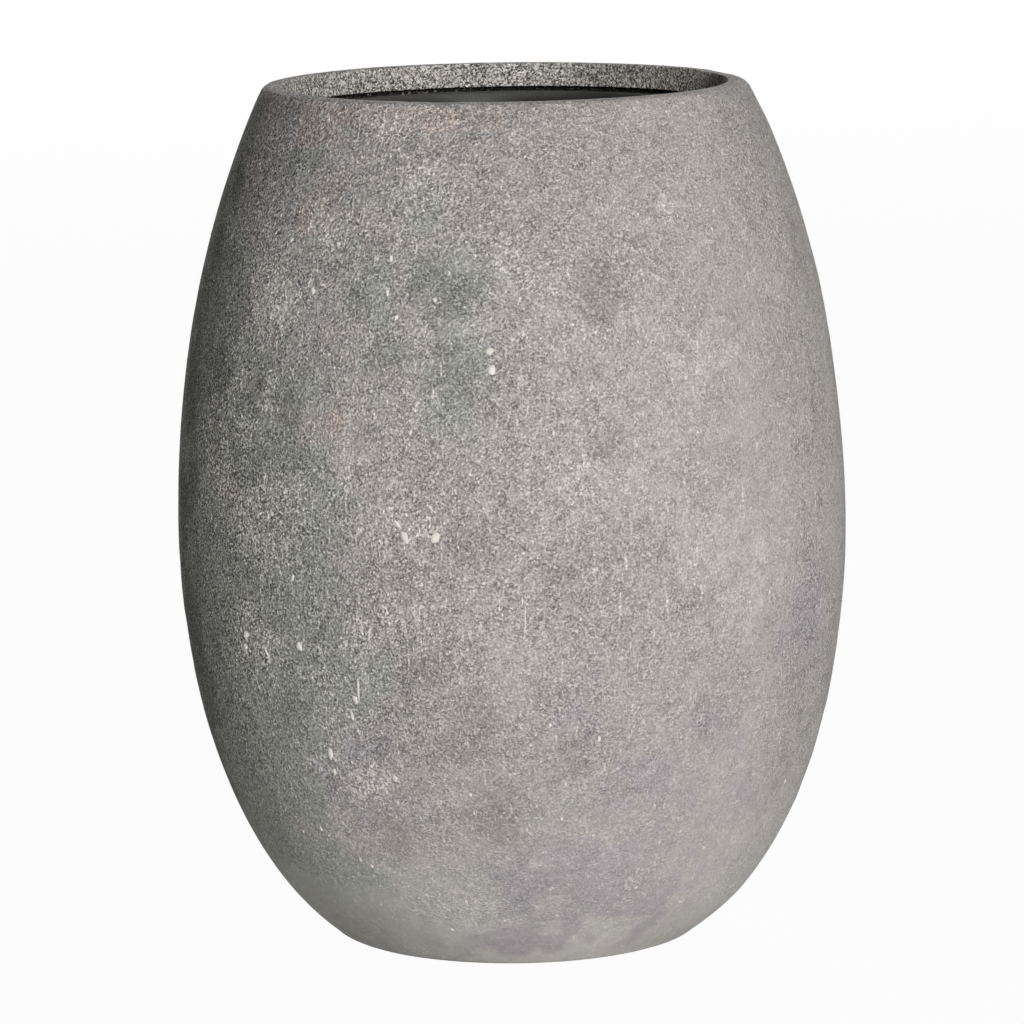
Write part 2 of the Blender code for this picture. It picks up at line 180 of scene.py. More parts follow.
# A socket in arithmetic: an expression on wires adds its Math nodes
class Wire:
    def __init__(self, socket):
        self.socket = socket
        self.tree = socket.id_data

    def maths(self, operation, *values):
        return addNode(self.tree, "ShaderNodeMath", dict(enumerate(values)), operation=operation)

    def __add__(self, other):
        return self.maths("ADD", self, other)

    def __sub__(self, other):
        return self.maths("SUBTRACT", self, other)

    def __rsub__(self, other):
        return self.maths("SUBTRACT", other, self)

    def __mul__(self, other):
        return self.maths("MULTIPLY", self, other)

    __radd__, __rmul__ = __add__, __mul__

    # 0 to 1, smoothly, as the value goes from low to high
    def step(self, low, high):
        sockets = {"Value": self, 1: low, 2: high}
        return addNode(self.tree, "ShaderNodeMapRange", sockets, interpolation_type="SMOOTHSTEP")


class Paint:
    # A new material with its shader's specular level, the same all over
    def __init__(self, name, specular):
        self.material = bpy.data.materials.new(name)
        self.material.use_nodes = True
        self.tree = self.material.node_tree
        self.shader = self.tree.nodes["Principled BSDF"]
        self.shader.inputs["Specular IOR Level"].default_value = specular
        self.place = self.node("ShaderNodeTexCoord", {}, "Object")

    def node(self, kind, sockets, output=0, **settings):
        return addNode(self.tree, kind, sockets, output, **settings)

    # Noise with features about size metres across, 0 to 1
    def noise(self, size, detail=2.0, roughness=0.5, distortion=0.0, where=None):
        sockets = {"Scale": 1 / size, "Detail": detail, "Roughness": roughness, "Distortion": distortion}
        return self.node("ShaderNodeTexNoise", sockets | {"Vector": where or self.place})

    # Object coordinates stretched along each axis
    def stretched(self, factors):
        return self.node("ShaderNodeMapping", {"Vector": self.place, "Scale": factors})

    # The object coordinate along one axis, in metres
    def along(self, axis):
        return self.node("ShaderNodeSeparateXYZ", {"Vector": self.place}, axis)

    def attribute(self, name):
        return self.node("ShaderNodeAttribute", {}, "Fac", attribute_name=name)

    def mix(self, factor, a, b, blend="MIX"):
        return self.node("ShaderNodeMix", {0: factor, 6: a, 7: b}, 2, data_type="RGBA", blend_type=blend)

    # A colour made lighter or darker by a factor
    def shaded(self, colour, factor):
        grey = self.node("ShaderNodeCombineColor", {0: factor, 1: factor, 2: factor})
        return self.mix(1.0, colour, grey, "MULTIPLY")

    # Links what varies: colour, roughness, and the bump's height in metres
    def finish(self, colour, roughness, relief):
        bump = self.node("ShaderNodeBump", {"Strength": 1.0, "Distance": 1.0, "Height": relief})
        for name, wire in (("Base Color", colour), ("Roughness", roughness), ("Normal", bump)):
            self.tree.links.new(wire.socket, self.shader.inputs[name])
        return self.material


photoCamera = {
    "target": (0.0002, 0, 0.3468),
    "distance": 4.627,
    "elevation": 9.298,  # degrees
    "roll": -0.898,  # degrees
    "lens": 198.5,
}


# The camera looks at its target from the front, raised by its elevation, then rolled
def makeCamera():
    rise, roll = (math.radians(photoCamera[angle]) for angle in ("elevation", "roll"))
    back = Vector((0, -math.cos(rise), math.sin(rise)))
    right, up = Vector((1, 0, 0)), Vector((0, math.sin(rise), math.cos(rise)))
    right, up = right * math.cos(roll) + up * math.sin(roll), up * math.cos(roll) - right * math.sin(roll)
    data = bpy.data.cameras.new("photoCamera")
    data.lens = photoCamera["lens"]
    camera = addObject("photoCamera", data)
    camera.matrix_world = Matrix((right, up, back)).transposed().to_4x4()
    camera.location = Vector(photoCamera["target"]) + back * photoCamera["distance"]
    scene.camera = camera


# Azimuths run from the photographed side, 0, to its right, 90; level is about what a white surface
# that faces the lamp shows
lamps = {
    "low": {"azimuth": -4, "elevation": 3, "distance": 3.6, "size": (0.7, 0.5), "level": 0.345},
    "high": {"azimuth": 18, "elevation": 16, "distance": 3.6, "size": (0.7, 0.6), "level": 0.555},
    "side": {"azimuth": 106, "elevation": 4, "distance": 3.6, "size": (0.9, 0.6), "level": 0.28},
    "back": {"azimuth": 182, "elevation": 14, "distance": 13, "size": (4.5, 3.4), "level": 0.62},
}


def makeLamps():
    for name, lamp in lamps.items():
        turn, rise = (math.radians(lamp[angle]) for angle in ("azimuth", "elevation"))
        away = Vector((math.sin(turn) * math.cos(rise), -math.cos(turn) * math.cos(rise), math.sin(rise)))
        data = bpy.data.lights.new(name + "Lamp", "AREA")
        data.shape = "RECTANGLE"
        data.size, data.size_y = lamp["size"]
        data.energy = lamp["level"] * (math.pi * lamp["distance"]) ** 2
        holder = addObject(name + "Lamp", data)
        holder.location = Vector((0, 0, 0.36)) + away * lamp["distance"]
        holder.rotation_euler = away.to_track_quat("Z", "Y").to_euler()
        holder.visible_camera = False


surround = {
    "ambient": 0.01,  # what the pale room adds all round
    "floorHalf": 40,
    "floorColour": (0.65, 0.65, 0.64, 1),
    "floorGlow": 0.965,  # share of plain white in what the camera sees of the floor
}


# 1 for rays from the camera and for those that gloss or glass sends on
def seenDirectly(tree):
    camera, glossy, through = (
        addNode(tree, "ShaderNodeLightPath", {}, "Is %s Ray" % kind)
        for kind in ("Camera", "Glossy", "Transmission")
    )
    return camera.maths("MAXIMUM", camera, glossy.maths("MAXIMUM", glossy, through))


def makeSurround():
    world = bpy.data.worlds.new("paleRoom")
    world.use_nodes = True
    world.node_tree.nodes.clear()
    scene.world = world
    strength = seenDirectly(world.node_tree) * (1 - surround["ambient"]) + surround["ambient"]
    light = addNode(world.node_tree, "ShaderNodeBackground", {"Color": (1, 1, 1, 1), "Strength": strength})
    addNode(world.node_tree, "ShaderNodeOutputWorld", {"Surface": light})

    material = bpy.data.materials.new("paleFloor")
    material.use_nodes = True
    tree = material.node_tree
    tree.nodes.clear()
    matt = addNode(tree, "ShaderNodeBsdfDiffuse", {"Color": surround["floorColour"]})
    glow = addNode(tree, "ShaderNodeEmission", {"Color": (1, 1, 1, 1), "Strength": 1.0})
    share = seenDirectly(tree) * surround["floorGlow"]
    mixed = addNode(tree, "ShaderNodeMixShader", {0: share, 1: matt, 2: glow})
    addNode(tree, "ShaderNodeOutputMaterial", {"Surface": mixed})
    half = surround["floorHalf"]
    mesh = bpy.data.meshes.new("floor")
    corners = [(-half, -half, 0), (half, -half, 0), (half, half, 0), (-half, half, 0)]
    mesh.from_pydata(corners, [], [(0, 1, 2, 3)])
    mesh.materials.append(material)
    floor = addObject("floor", mesh)


makeCamera()
makeLamps()
makeSurround()
scene.view_settings.view_transform = "Standard"
print("camera, lamps and floor made")


shellLow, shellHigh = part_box("outer_shell")
shell = {
    "height": shellHigh[2] + 0.0001,
    "bellyRadius": shellHigh[0],
    "bellyHeight": 0.339,
    "mouthRadius": 0.196,
    "footRadius": 0.1455,
    "shoulderFullness": 1.66,
    "baseFullness": 1.062,
    "underside": shellLow[2],
    "wall": 0.008,
    "floorTop": 0.014,
    "floorRound": 0.02,
    "footLeft": 0.024,  # the foot's round, left and right
    "footRight": 0.011,
    "ringInner": 0.078,  # where the foot's flat ring starts to slope up into the recess
    "ringSlope": 0.003,
    "footRecess": 0.003,
    "drainRadius": 0.0125,
    "seatRadius": 0.0205,
    "seatDepth": 0.0015,
    "lipInner": 0.18,
    "lipBottom": 0.68,
    "crownLeft": 0.006,  # the lip's outer round, tighter on the left than on the right
    "crownRight": 0.013,
    "lipEdge": 0.0013,
    "columns": 420,
    # where the wall stands out on the right: how far, and the heights over which it rises and falls
    "swells": [(0.0032, (0.004, 0.04), (0.1, 0.26)), (0.0013, (0.45, 0.55), (0.66, 0.69))],
}

# How deep the hand-finished skin goes in from the full size, in metres
skin = {"least": 0.00012, "broad": 0.00045, "dents": 0.0005, "ripple": 0.00022}


# The outer curve, moved in by depth: quarter ellipses above and below the belly, with
# radius = belly - radial (1 - cos angle), height = belly height + vertical sin angle
def shellCurve(angle, depth=0.0):
    above = np.asarray(angle) >= 0
    span = np.where(above, shell["height"] - shell["bellyHeight"], shell["bellyHeight"] - shell["underside"])
    fullness = np.where(above, shell["shoulderFullness"], shell["baseFullness"])
    narrowing = shell["bellyRadius"] - np.where(above, shell["mouthRadius"], shell["footRadius"])
    radial = narrowing / (1 - np.sqrt(1 - 1 / fullness**2))
    vertical = span * fullness
    across, up = np.cos(angle) / radial, np.sin(angle) / vertical
    length = np.hypot(across, up)
    radius = shell["bellyRadius"] - radial * (1 - np.cos(angle)) - depth * across / length
    height = shell["bellyHeight"] + vertical * np.sin(angle) - depth * up / length
    return np.stack([radius, height], -1)


angleTable = np.linspace(-1.25, 1.25, 5001)


# The ellipse's angle where the curve at a depth reaches a height
def shellAngle(height, depth=0.0):
    return np.interp(height, shellCurve(angleTable, depth)[:, 1], angleTable)


# A round between the curve at a depth and a flat level: centre, where it starts, the curve's angle
def shellRound(level, radius, depth, side):
    angle = shellAngle(level + side * radius, depth + radius)
    centre, meets = shellCurve(angle, depth + radius), shellCurve(angle, depth)
    return centre, math.atan2(meets[1] - centre[1], meets[0] - centre[0]), angle


# The shell's closed section in rows for one crown and one foot radius, how much of the skin's relief
# each row takes, and which rows are outside
def shellSection(crownRadius, footRadius):
    top, under, floorTop, wall = (shell[name] for name in ("height", "underside", "floorTop", "wall"))
    drain, seatRadius, ring = shell["drainRadius"], shell["seatRadius"], shell["ringInner"]
    lipInner, lipBottom, edge = shell["lipInner"], shell["lipBottom"], shell["lipEdge"]
    recess, seat, inRing = under + shell["footRecess"], floorTop - shell["seatDepth"], ring - shell["ringSlope"]
    lip = lipInner + edge
    crown, crownEnd, topAngle = shellRound(top, crownRadius, 0, -1)
    foot, footStart, footAngle = shellRound(under, footRadius, 0, 1)
    corner, cornerEnd, floorAngle = shellRound(floorTop, shell["floorRound"], wall, 1)
    outer = shellCurve(np.linspace(topAngle, footAngle, 600))
    inner = shellCurve(np.linspace(floorAngle, shellAngle(lipBottom, wall), 300), wall)
    parts = [
        (arc((lip, top - edge), edge, math.pi, quarter, 6)[:-1], 1),
        (spread([(lip, top), (crown[0], top)], 5), 1),
        (arc(crown, crownRadius, quarter, crownEnd, 13)[:-1], 1),
        (spread(outer, 132), 1),
        (arc(foot, footRadius, footStart, -quarter, 13)[:-1], 0.3),
        (spread([(foot[0], under), (ring, under)], 5), 0),
        (spread([(ring, under), (inRing, recess)], 2), 0),
        (spread([(inRing, recess), (drain, recess)], 4), 0),
        ([(drain, recess), (drain, seat)], 0),
        ([(seatRadius, seat), (seatRadius, floorTop)], 0),
        (spread([(seatRadius + 0.001, floorTop), (corner[0], floorTop)], 5), 0),
        (arc(corner, shell["floorRound"], -quarter, cornerEnd, 7)[:-1], 0),
        (spread(inner, 20), 0),
        (spread([inner[-1], (lip, lipBottom)], 4), 0),
        (arc((lip, lipBottom + edge), edge, -quarter, -2 * quarter, 6)[:-1], 0.4),
        (spread([(lipInner, lipBottom + edge), (lipInner, top - edge)], 9), 0.7),
    ]
    sections, shares = zip(*parts)
    counts = [len(rows) for rows in sections]
    return np.vstack(sections), np.repeat(shares, counts), np.repeat(np.arange(len(parts)) < 5, counts)


# Depth of the skin: a broad swell, dents where a middle noise runs high, and a finer ripple
def skinDepth(points):
    broad = 0.5 + 0.5 * smoothNoise(points, 0.085, 3)
    dents = smoothStep(smoothNoise(points, 0.026, 11), 0.25, 0.8)
    ripple = 0.5 + 0.5 * smoothNoise(points, 0.0125, 23)
    return skin["least"] + skin["broad"] * broad + skin["dents"] * dents + skin["ripple"] * ripple


# How far the hand-made wall stands out to the right: each swell's most, times its smooth rise and its
# smooth fall, from nothing on the left
def swellAt(x, height):
    out = 0
    for most, rise, fall in shell["swells"]:
        out = out + most * smoothStep(height, *rise) * (1 - smoothStep(height, *fall))
    return out * smoothStep(x, -0.05, 0.1)


# Stains on the photographed side, degrees and millimetres: azimuth and height of the middle, half
# width in degrees, half height, strength
stains = {
    "green": [
        (-12.4, 564, 10, 44, 0.7), (-9.7, 485, 8, 56, 0.7), (-27.7, 555, 10, 34, 0.7),
        (-22.1, 522, 9, 40, 0.7), (-17.3, 624, 5.5, 26, 0.8), (-33, 585, 7, 30, 0.7), (-44, 515, 6, 18, 0.7),
        (-33, 497, 8, 16, 0.7), (-50, 653, 9, 18, 0.6), (-27, 255, 8, 36, 0.7), (2, 135, 4, 16, 0.7),
        (-4, 90, 5, 12, 0.5), (86, 450, 6, 200, 0.5), (12, 165, 4, 18, 0.4),
    ],
    "moss": [
        (-12.4, 560, 7.5, 36, 0.85), (-9.7, 485, 6, 46, 0.85), (-27.7, 555, 8, 26, 0.6),
        (-22.1, 520, 7, 30, 0.65), (-17.3, 624, 5, 22, 0.6), (-33, 585, 6, 26, 0.5), (-47, 466, 11, 30, 0.75),
        (-68, 520, 14, 90, 1), (-72, 240, 10, 140, 0.6), (-43.9, 216, 9, 30, 0.7), (-52, 330, 9, 30, 0.5),
        (-58, 640, 9, 30, 0.6), (-31, 640, 8, 20, 0.4), (-50, 150, 12, 50, 0.3), (84, 480, 5, 140, 0.5),
        # the last one darkens the lip's inside at its right end: painted shade, not moss
        (126, 690, 20, 30, 1),
    ],
    "dark": [
        (17.4, 555, 5, 30, 0.85), (20, 515, 4, 34, 0.7), (18.4, 440, 6, 22, 0.7), (27, 385, 5, 30, 0.5),
        (9.5, 191, 8, 34, 0.8), (-4.9, 150, 7, 44, 0.9), (-6.8, 220, 7, 34, 0.8), (-15, 262, 6, 26, 0.7),
        (-5.6, 364, 6, 24, 0.6), (22, 385, 8, 30, 0.4), (5, 600, 9, 30, 0.4), (46, 410, 5, 30, 0.4),
        (72, 560, 7, 60, 0.6), (12, 345, 8, 30, 0.5), (-22, 125, 8, 30, 0.5), (60, 160, 7, 50, 0.5),
        (-12, 430, 5, 20, 0.4),
    ],
    "warm": [
        (-38, 614, 8, 24, 1), (-25.7, 441, 3, 24, 0.5), (-30, 690, 30, 13, 0.9), (-42, 675, 14, 14, 0.8),
        (-46, 548, 9, 30, 0.6), (-31, 462, 4, 12, 0.7), (48, 682, 20, 12, 0.3), (-55.7, 385, 5, 24, 0.6),
        (-30, 598, 5, 20, 0.5),
    ],
    # soot: dark spots, and the tall strips at -75 degrees are painted shade down the shaded left edge
    "sootAndShade": [
        (-63, 495, 8, 40, 1), (-62, 565, 6, 25, 0.4), (-36, 500, 6, 18, 0.35), (-75, 460, 7, 200, 0.8),
        (-75, 620, 9, 50, 0.5), (-75, 220, 7, 150, 0.9),
    ],
    "lilac": [
        (21, 75, 25, 52, 1), (28, 175, 12, 40, 0.7), (10.1, 245, 6, 50, 0.8), (37.4, 204, 8, 40, 0.8),
        (59, 270, 9, 55, 0.8), (-28, 165, 11, 60, 0.8), (9.3, 30, 26, 20, 0.9), (50, 120, 12, 50, 0.7),
        (80, 200, 8, 80, 0.6), (44, 75, 10, 35, 0.8), (20, 155, 8, 30, 0.7), (-60, 330, 3, 30, 0.4),
    ],
    "light": [
        (38.5, 329, 13, 75, 0.62), (-46, 552, 9, 50, 0.9), (-28.7, 440, 4, 50, 0.5), (12.1, 412, 6, 22, 0.5),
        (34, 606, 12, 34, 0.62), (33, 207, 7, 30, 0.6), (-31.2, 174, 6, 80, 0.6), (0.2, 303, 3.5, 36, 0.6),
        (28.3, 80, 15, 22, 0.7), (38, 510, 12, 50, 0.55), (-15, 322, 3, 45, 0.6), (-20, 400, 6, 30, 0.5),
        (-6, 645, 14, 20, 0.5), (26, 155, 9, 30, 0.4), (4, 530, 5, 20, 0.4), (-35, 85, 14, 45, 0.9),
        (-36, 255, 7, 60, 0.8), (-36, 380, 6, 45, 0.6), (-50, 50, 10, 30, 0.7), (-36, 30, 13, 30, 1),
    ],
    "crumbs": [
        (-46, 550, 10, 55, 1), (-38, 605, 9, 30, 0.9), (-50, 460, 10, 45, 0.9), (-45, 380, 14, 50, 0.9),
        (-20, 375, 10, 22, 0.8), (-33, 170, 10, 85, 0.75), (-44, 270, 14, 45, 0.9), (-24, 300, 12, 50, 0.6),
        (-60, 420, 8, 100, 0.7), (-22, 620, 16, 45, 0.7), (-28, 685, 22, 15, 0.7), (0, 600, 14, 55, 0.4),
        (-28, 440, 5, 50, 0.4), (-10, 420, 12, 40, 0.4), (28, 75, 16, 22, 0.5), (-20, 500, 14, 50, 0.5),
        (12, 420, 6, 20, 0.5),
    ],
    "calm": [  # where the grain is worn down
        (52, 500, 24, 100, 0.9), (50, 360, 20, 120, 0.9), (40, 130, 40, 90, 0.9), (78, 400, 18, 250, 0.9),
        (-5, 110, 40, 45, 0.7), (-26, 430, 6, 35, 0.8), (24, 240, 18, 50, 0.5), (55, 630, 15, 40, 0.5),
        (-2, 220, 16, 90, 0.8), (24, 450, 14, 100, 0.4),
    ],
}
# Left of this line the wall is painted greener and a little darker, as painted shade on its shaded side: height
# in millimetres, and azimuth
greenEdge = {
    "height": [0, 30, 83, 114, 193, 248, 279, 310, 420, 449, 503, 513, 582, 640, 700],
    "azimuth": [-16, -19, -29, -40, -37, -24, -27, -31.5, -30.5, -37, -39, -51, -56, -67, -74],
}
backStains = {"count": 9, "seed": 41, "halfWidth": (5, 16), "halfHeight": (0.02, 0.06), "strength": (0.5, 1)}


# How far a list of stains covers each point. The strongest stain counts: strength times
# exp(-0.9 (turned away / half width) squared - 0.9 (height away / half height) squared). Noise times
# the root of that cuts ragged edges, holes and islands.
def stainAt(points, azimuth, places, seed):
    cover = np.zeros(points.shape[:-1])
    for middle, height, halfWidth, halfHeight, strength in places:
        turned = (azimuth - middle + 180) % 360 - 180
        away = (turned / halfWidth) ** 2 + ((points[..., 2] - height) / halfHeight) ** 2
        cover = np.maximum(cover, strength * np.exp(-0.9 * away))
    ragged = 0.55 * smoothNoise(points, 0.034, seed) + 0.45 * smoothNoise(points, 0.014, seed + 20)
    return smoothStep(cover + ragged * np.sqrt(cover), 0.1, 1.0)


# All stains in metres, and more of the same kinds for the sides that the photograph doesn't show
def stainsAllRound():
    every = {kind: (np.array(rows) / (1, 1000, 1, 1000, 1)).tolist() for kind, rows in stains.items()}
    draw, count = np.random.default_rng(backStains["seed"]), backStains["count"]
    for kind in [kind for kind in stains if kind != "sootAndShade"]:
        columns = [draw.uniform(95, 265, count), draw.uniform(0.05, 0.66, count)]
        columns += [draw.uniform(*backStains[key], count) for key in ("halfWidth", "halfHeight", "strength")]
        every[kind] += np.stack(columns, -1).tolist()
    return every


# The shell's tints, wear, and painted light and shade at each point, by attribute name
def shellTints(points, outside):
    azimuth = np.degrees(np.arctan2(points[..., 0], -points[..., 1]))
    height = points[..., 2]
    tints = {}
    for seed, (name, places) in enumerate(stainsAllRound().items(), 60):
        tints[name] = stainAt(points, azimuth, places, seed)
    # painted shade: the shaded left side is painted greener and a little darker
    edge = np.interp(1000 * height, greenEdge["height"], greenEdge["azimuth"])
    edge = edge - azimuth + 7 * smoothNoise(points, 0.03, 101) + 5 * smoothNoise(points, 0.012, 102)
    shadedSideGreen = smoothStep(edge, -3, 4) * smoothStep(azimuth, -150, -110)
    # the foot is painted paler: painted light, standing in for light bounced up from the floor
    tints["footPaintedLight"] = 1 - smoothStep(height, 0.02, 0.13)
    tints["green"] = np.maximum(tints["green"], (0.9 - 0.3 * tints["footPaintedLight"]) * shadedSideGreen)
    # the lip's inside is coarser, and its flat land and outer round are painted pale: painted light from above
    radius = np.hypot(points[..., 0], points[..., 1])
    band = smoothStep(-radius, -0.1835, -0.1812) * smoothStep(height, 0.676, 0.68)
    bandPaintedShade = smoothStep(azimuth, 104, 122) * (1 - smoothStep(azimuth, 150, 172))
    # the lip's inside is less pale at its right end, where it lies in shade: painted shade
    tints["lipBand"] = band * (1 - 0.6 * bandPaintedShade)
    # the shell's inside below the lip is painted dark: its raw inside, and painted shade for the gap under the
    # lip
    tints["inside"] = smoothStep(-height, -0.6815, -0.68) * (1 - outside[:, None])
    tints["litLipLand"] = smoothStep(height, 0.6935, 0.6985) * smoothStep(radius, 0.1805, 0.183)
    tints["crumbs"] = np.maximum(tints["crumbs"], 1.15 * band)
    tints["cloud"] = 0.5 + 0.3 * smoothNoise(points, 0.1, 91) + 0.25 * smoothNoise(points, 0.035, 92)
    # the foot is smooth up to a ragged line, higher on the left
    line = 0.036 + 0.04 * smoothStep(-azimuth, 5, 38) + 0.009 * smoothNoise(points, 0.035, 95)
    foot = smoothStep(height - line, -0.014, 0.016)
    lower = smoothStep(height, 0.04, 0.28)
    side = 1.04 - 0.44 * np.clip(azimuth / 55, -1, 1) * (np.abs(azimuth) < 120)
    side = side + 0.5 * smoothStep(-azimuth, 38, 60) + 0.45 * smoothStep(azimuth, 44, 60)
    grain = (0.08 + 0.92 * foot) * (0.42 + 0.58 * lower) * (1 - 0.3 * tints.pop("calm")) * side
    tints["coarse"] = grain + 0.7 * band
    tints["smeared"] = 1 - smoothStep(height, 0.12, 0.27)
    return tints


# The rows of two sections, with the left's and the right's rounds, turned round. Each point moves in
# along its normal by its row's share of the skin's depth, the two are blended by X, and the outer wall
# is moved out by its swells.
def makeShellMesh():
    grids = []
    for side in ("Left", "Right"):
        section, weight, outside = shellSection(shell["crown" + side], shell["foot" + side])
        along = np.roll(section, -1, axis=0) - np.roll(section, 1, axis=0)
        along /= np.linalg.norm(along, axis=1)[:, None]
        normal = turnedGrid(np.stack([-along[:, 1], along[:, 0]], -1), shell["columns"])
        grid = turnedGrid(section, shell["columns"])
        grids.append(grid - normal * (skinDepth(grid) * weight[:, None])[..., None])
    share = smoothStep(grids[0][..., :1], -0.16, 0.16)
    grid = grids[0] * (1 - share) + grids[1] * share
    grid[..., 0] += swellAt(grid[..., 0], grid[..., 2]) * outside[:, None]
    mesh = joinedMesh("planterShell", [gridPart(grid, closedRows=True)])
    for name, values in shellTints(grid, outside).items():
        data = mesh.attributes.new(name, "FLOAT", "POINT").data
        data.foreach_set("value", values.reshape(-1).astype(np.float32))
    return mesh


stone = {
    "colours": {
        "plain": (180, 175, 172), "light": (193, 188, 185), "green": (170, 171, 164), "moss": (158, 158, 152),
        "dark": (165, 160, 157), "sootAndShade": (132, 134, 128), "warm": (187, 174, 167), "lilac": (174, 168, 171),
        # foot: paler as painted light bounced up from the floor
        # land: the lip's top, paler as painted light from above
        "foot": (197, 193, 190), "land": (206, 200, 196), "inside": (64, 66, 61), "band": (218, 213, 207),
        "crumb": (230, 224, 217),
    },
    "grain": 0.0018,
    "worm": 0.0033,
    "lump": 0.008,
    "grainDepth": 0.0012,
    "wormDepth": 0.0007,
    "lumpDepth": 0.0012,
}


# Cast stone: fine winding ridges where a noise is near its middle, over an even grain, with some
# bright flecks, rougher and calmer patches, smears, broad stains and clouds, and some painted light and shade
# in its tints
def makeStone():
    paint = Paint("stoneComposite", 0.22)
    tint = {name: screenColour(*shown) for name, shown in stone["colours"].items()}
    grain = paint.noise(stone["grain"], 2.6, 0.72, 0.2)
    worm = paint.noise(stone["worm"], 1, 0.5, 0.4) - 0.5
    ridge = 1 - worm.maths("ABSOLUTE", worm).step(0.0, 0.1)
    fleck = grain.step(0.6, 0.72)
    lump = paint.noise(stone["lump"], 3, 0.62, 0.9) - 0.5
    patch = paint.noise(0.016, 4, 0.65, 0.4) - 0.5
    rough = paint.noise(0.011, 3, 0.6, 0.5).step(0.32, 0.68)
    coarse = paint.attribute("coarse") * (0.72 + 0.46 * rough)
    cloud = paint.attribute("cloud")

    # painted light: the foot is paler
    colour = paint.mix(paint.attribute("footPaintedLight"), tint["plain"], tint["foot"])
    for name in ("light", "green", "lilac", "warm", "dark", "moss", "sootAndShade"):
        share = (paint.attribute(name) + 1.2 * patch + 0.4 * lump).step(0.2, 0.9)
        colour = paint.mix(share, colour, tint[name])
    colour = paint.mix(paint.attribute("lipBand") * 0.9, colour, tint["band"])
    # dark inside: raw interior and painted shade under the lip
    colour = paint.mix(paint.attribute("inside"), colour, tint["inside"])
    # the lip's flat land and outer round painted paler: painted light from above
    colour = paint.mix(paint.attribute("litLipLand"), colour, tint["land"])

    # pale crumbs stand up in loose drifts, more of them on the lip's inside
    crumbs = paint.attribute("crumbs")
    crumb = (paint.noise(0.003, 2, 0.5, 0.6) + 0.16 * crumbs).step(0.63, 0.68) * (0.35 + 0.65 * crumbs)
    colour = paint.mix(crumb * 0.8, colour, tint["crumb"])
    # thin pale runs down the wall
    run = (paint.noise(0.003, 1, 0.5, 0.0, paint.stretched((1, 1, 0.09))) + 0.1 * crumbs).step(0.68, 0.77)
    colour = paint.mix(run * 0.62, colour, tint["crumb"])

    # soft strokes low on the wall, where the skin was trowelled
    smeared = paint.attribute("smeared")
    smear = paint.noise(0.0095, 4, 0.65, 2.0)
    colour = paint.mix(smear.step(0.56, 0.7) * smeared * 0.32, colour, tint["crumb"])

    speckle = 3.0 * (grain - 0.5) + 0.36 * fleck + 0.5 * (ridge - 0.42) + 0.2 * lump
    speckle = speckle.maths("SMOOTH_MAX", speckle, -0.5, 0.25) - 0.04
    tone = 1 + coarse * speckle + 0.26 * lump + 0.24 * (cloud - 0.5) + 0.2 * patch
    tone = tone + 0.42 * smeared * (smear - 0.52)
    colour = paint.shaded(colour, tone.maths("MAXIMUM", tone, 0.15))
    relief = grain * stone["grainDepth"] + ridge * stone["wormDepth"] + lump * stone["lumpDepth"]
    shallow = 1 - 0.75 * paint.attribute("lipBand")
    return paint.finish(colour, 0.86 + 0.2 * grain, coarse * shallow * relief + crumb * 0.0004)


addPiece(makeShellMesh(), makeStone(), "planter", "stone_composite", "outer_shell")
print("shell made")


